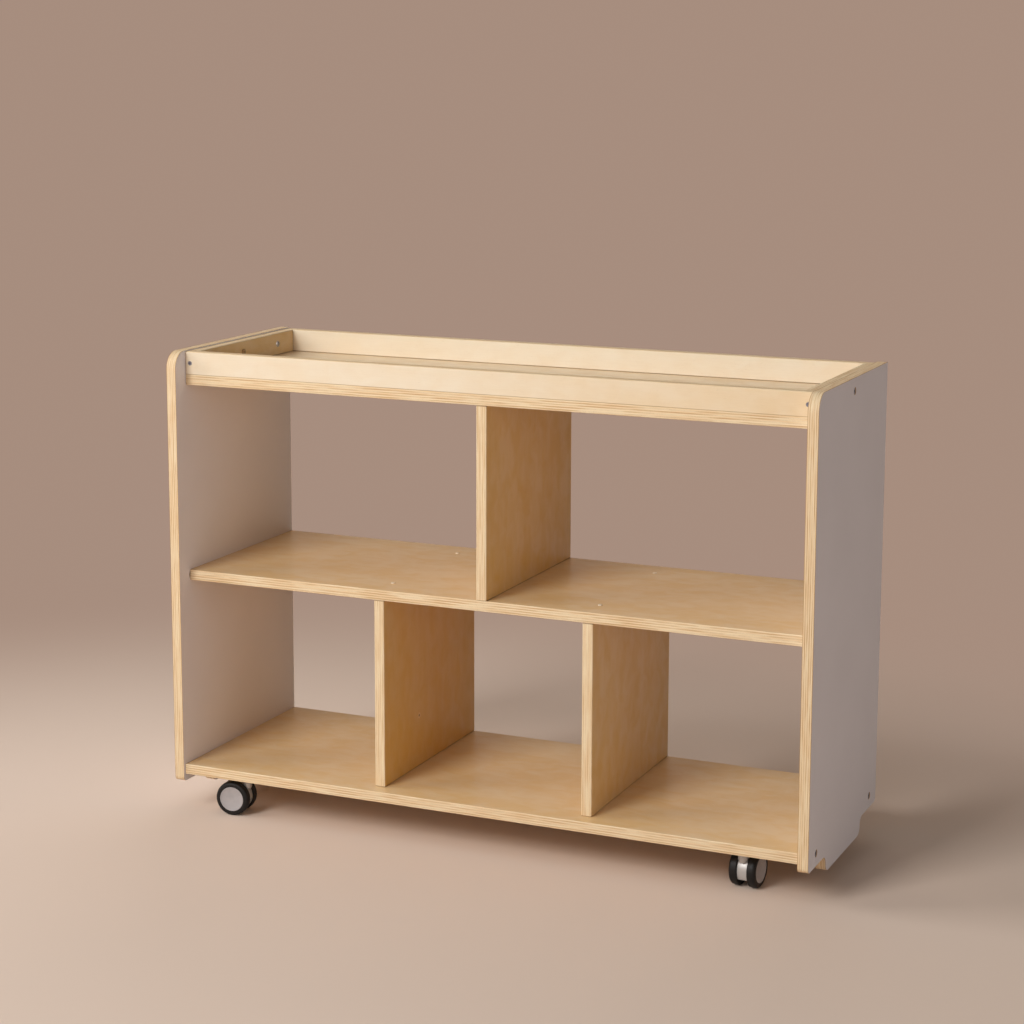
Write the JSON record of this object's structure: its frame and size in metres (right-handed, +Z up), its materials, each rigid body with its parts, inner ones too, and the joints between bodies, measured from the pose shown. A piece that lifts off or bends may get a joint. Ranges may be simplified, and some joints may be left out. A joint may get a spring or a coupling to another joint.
{
  "type": "mobile classroom shelf",
  "caption": "Mobile plywood shelf with open bays in two rows, a railed tray top, laminated end panels and swivelling twin-wheel casters.",
  "frame": {"origin": "on the floor, under the centre of the cabinet's footprint", "axes": "+X along the width towards the right end panel, +Y from front to back, +Z up"},
  "size_m": [0.96, 0.33, 0.679],
  "materials": {
    "plywood": "satin clear lacquer over birch plywood, layers showing on the edges",
    "laminate": "matt high-pressure laminate, light warm grey",
    "steel": "zinc plated",
    "dark_steel": "dark, semi-gloss",
    "caps": "satin, pale beige",
    "dowels": "bare beech",
    "housing": "silver grey, satin",
    "rim": "mid grey, satin",
    "tyre": "black, satin"
  },
  "bodies": {
    "cabinet": {"left_end_panel": "plywood", "right_end_panel": "plywood", "left_outer_laminate": "laminate", "left_inner_laminate": "laminate", "right_outer_laminate": "laminate", "right_inner_laminate": "laminate", "bottom_shelf": "plywood", "middle_shelf": "plywood", "upper_divider": "plywood", "lower_left_divider": "plywood", "lower_right_divider": "plywood", "tray_floor": "plywood", "tray_front_rail": "plywood", "tray_back_rail": "plywood", "tray_left_board": "plywood", "tray_right_board": "plywood", "base_screws": "dark_steel", "tray_side_bolts": "dark_steel", "tray_side_nuts": "dark_steel", "tray_board_screws": "steel", "tray_rail_screws": "dark_steel", "tray_floor_screws": "steel", "divider_top_screws": "steel", "divider_caps": "caps", "divider_foot_screws": "steel", "upper_divider_screws": "steel", "upper_divider_dowels": "dowels", "caster_inserts": "steel", "front_left_stem": "steel", "front_right_stem": "steel", "back_left_stem": "steel", "back_right_stem": "steel"},
    "front_left_swivel": {"front_left_housing": "housing", "front_left_axle": "steel"},
    "front_left_wheel_1": {"front_left_rim_1": "rim", "front_left_tyre_1": "tyre"},
    "front_left_wheel_2": {"front_left_rim_2": "rim", "front_left_tyre_2": "tyre"},
    "front_right_swivel": {"front_right_housing": "housing", "front_right_axle": "steel"},
    "front_right_wheel_1": {"front_right_rim_1": "rim", "front_right_tyre_1": "tyre"},
    "front_right_wheel_2": {"front_right_rim_2": "rim", "front_right_tyre_2": "tyre"},
    "back_left_swivel": {"back_left_housing": "housing", "back_left_axle": "steel"},
    "back_left_wheel_1": {"back_left_rim_1": "rim", "back_left_tyre_1": "tyre"},
    "back_left_wheel_2": {"back_left_rim_2": "rim", "back_left_tyre_2": "tyre"},
    "back_right_swivel": {"back_right_housing": "housing", "back_right_axle": "steel"},
    "back_right_wheel_1": {"back_right_rim_1": "rim", "back_right_tyre_1": "tyre"},
    "back_right_wheel_2": {"back_right_rim_2": "rim", "back_right_tyre_2": "tyre"}
  },
  "joints": [
    {"name": "front_left_swivel_turn", "type": "hinge", "parent": "cabinet", "child": "front_left_swivel", "pos_m": [-0.38, -0.129, 0.054], "axis": [0, 0, 1], "continuous": true},
    {"name": "front_left_wheel_1_roll", "type": "hinge", "parent": "front_left_swivel", "child": "front_left_wheel_1", "pos_m": [-0.39687, -0.13107, 0.025], "axis": [0.1219, -0.9925, 0], "continuous": true},
    {"name": "front_left_wheel_2_roll", "type": "hinge", "parent": "front_left_swivel", "child": "front_left_wheel_2", "pos_m": [-0.39687, -0.13107, 0.025], "axis": [0.1219, -0.9925, 0], "continuous": true},
    {"name": "front_right_swivel_turn", "type": "hinge", "parent": "cabinet", "child": "front_right_swivel", "pos_m": [0.38, -0.129, 0.054], "axis": [0, 0, 1], "continuous": true},
    {"name": "front_right_wheel_1_roll", "type": "hinge", "parent": "front_right_swivel", "child": "front_right_wheel_1", "pos_m": [0.38148, -0.11206, 0.025], "axis": [-0.9962, 0.0872, 0], "continuous": true},
    {"name": "front_right_wheel_2_roll", "type": "hinge", "parent": "front_right_swivel", "child": "front_right_wheel_2", "pos_m": [0.38148, -0.11206, 0.025], "axis": [-0.9962, 0.0872, 0], "continuous": true},
    {"name": "back_left_swivel_turn", "type": "hinge", "parent": "cabinet", "child": "back_left_swivel", "pos_m": [-0.38, 0.129, 0.054], "axis": [0, 0, 1], "continuous": true},
    {"name": "back_left_wheel_1_roll", "type": "hinge", "parent": "back_left_swivel", "child": "back_left_wheel_1", "pos_m": [-0.39683, 0.13137, 0.025], "axis": [-0.1392, -0.9903, 0], "continuous": true},
    {"name": "back_left_wheel_2_roll", "type": "hinge", "parent": "back_left_swivel", "child": "back_left_wheel_2", "pos_m": [-0.39683, 0.13137, 0.025], "axis": [-0.1392, -0.9903, 0], "continuous": true},
    {"name": "back_right_swivel_turn", "type": "hinge", "parent": "cabinet", "child": "back_right_swivel", "pos_m": [0.38, 0.129, 0.054], "axis": [0, 0, 1], "continuous": true},
    {"name": "back_right_wheel_1_roll", "type": "hinge", "parent": "back_right_swivel", "child": "back_right_wheel_1", "pos_m": [0.37363, 0.11324, 0.025], "axis": [0.9272, -0.3746, 0], "continuous": true},
    {"name": "back_right_wheel_2_roll", "type": "hinge", "parent": "back_right_swivel", "child": "back_right_wheel_2", "pos_m": [0.37363, 0.11324, 0.025], "axis": [0.9272, -0.3746, 0], "continuous": true}
  ]
}
